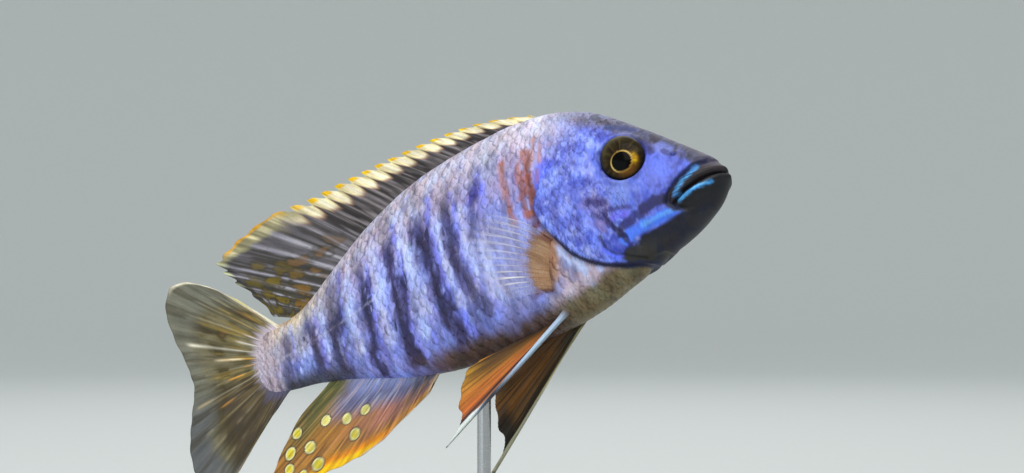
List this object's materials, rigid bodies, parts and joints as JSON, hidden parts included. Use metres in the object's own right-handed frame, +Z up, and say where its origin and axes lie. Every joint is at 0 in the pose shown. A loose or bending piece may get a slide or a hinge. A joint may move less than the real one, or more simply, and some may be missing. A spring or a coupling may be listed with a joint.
{
  "type": "peacock cichlid museum model",
  "caption": "Life-size still model of a male peacock cichlid, nose up and banked as it swims, held over a plain plinth by a slim rod.",
  "frame": {"origin": "centre of the plinth's underside, which rests on the floor", "axes": "+Z up; +X the way the fish heads in plan, its nose 21 degrees up; the fish is banked 14 degrees, so that its belly is swung towards -Y and its right flank, on the -Y side, faces a little down"},
  "size_m": [0.129, 0.0591, 0.0986],
  "materials": {
    "head_skin": "wet scaled skin, blue violet with light blue flecks, black chin",
    "flank_skin": "wet scaled skin, lilac grey with dark indigo bars and a blue sheen",
    "dorsal_fin_web": "dark web with pale rays and a cream and yellow edge",
    "anal_fin_web": "rust to orange web with pale yellow egg spots",
    "tail_fin_web": "grey olive web with brown streaks between pale rays",
    "pelvic_fin_web": "orange web behind a white leading ray",
    "pectoral_fin_web": "clear web with pale rays, tan at the root",
    "eye": "polished, black pupil in a gold ring and a bronze iris",
    "stand_plinth": "satin black acrylic",
    "stand_rod": "fine brushed steel"
  },
  "bodies": {
    "root": {"head": "head_skin", "lower_jaw": "head_skin", "gill_cover_left": "head_skin", "gill_cover_right": "head_skin", "torso": "flank_skin", "tail_stalk": "flank_skin", "dorsal_fin": "dorsal_fin_web", "anal_fin": "anal_fin_web", "tail_fin": "tail_fin_web", "pelvic_fin_left": "pelvic_fin_web", "pelvic_fin_right": "pelvic_fin_web", "pectoral_fin_left": "pectoral_fin_web", "pectoral_fin_right": "pectoral_fin_web", "eye_left": "eye", "eye_right": "eye", "stand_base": "stand_plinth", "stand_rod": "stand_rod"}
  },
  "joints": []
}
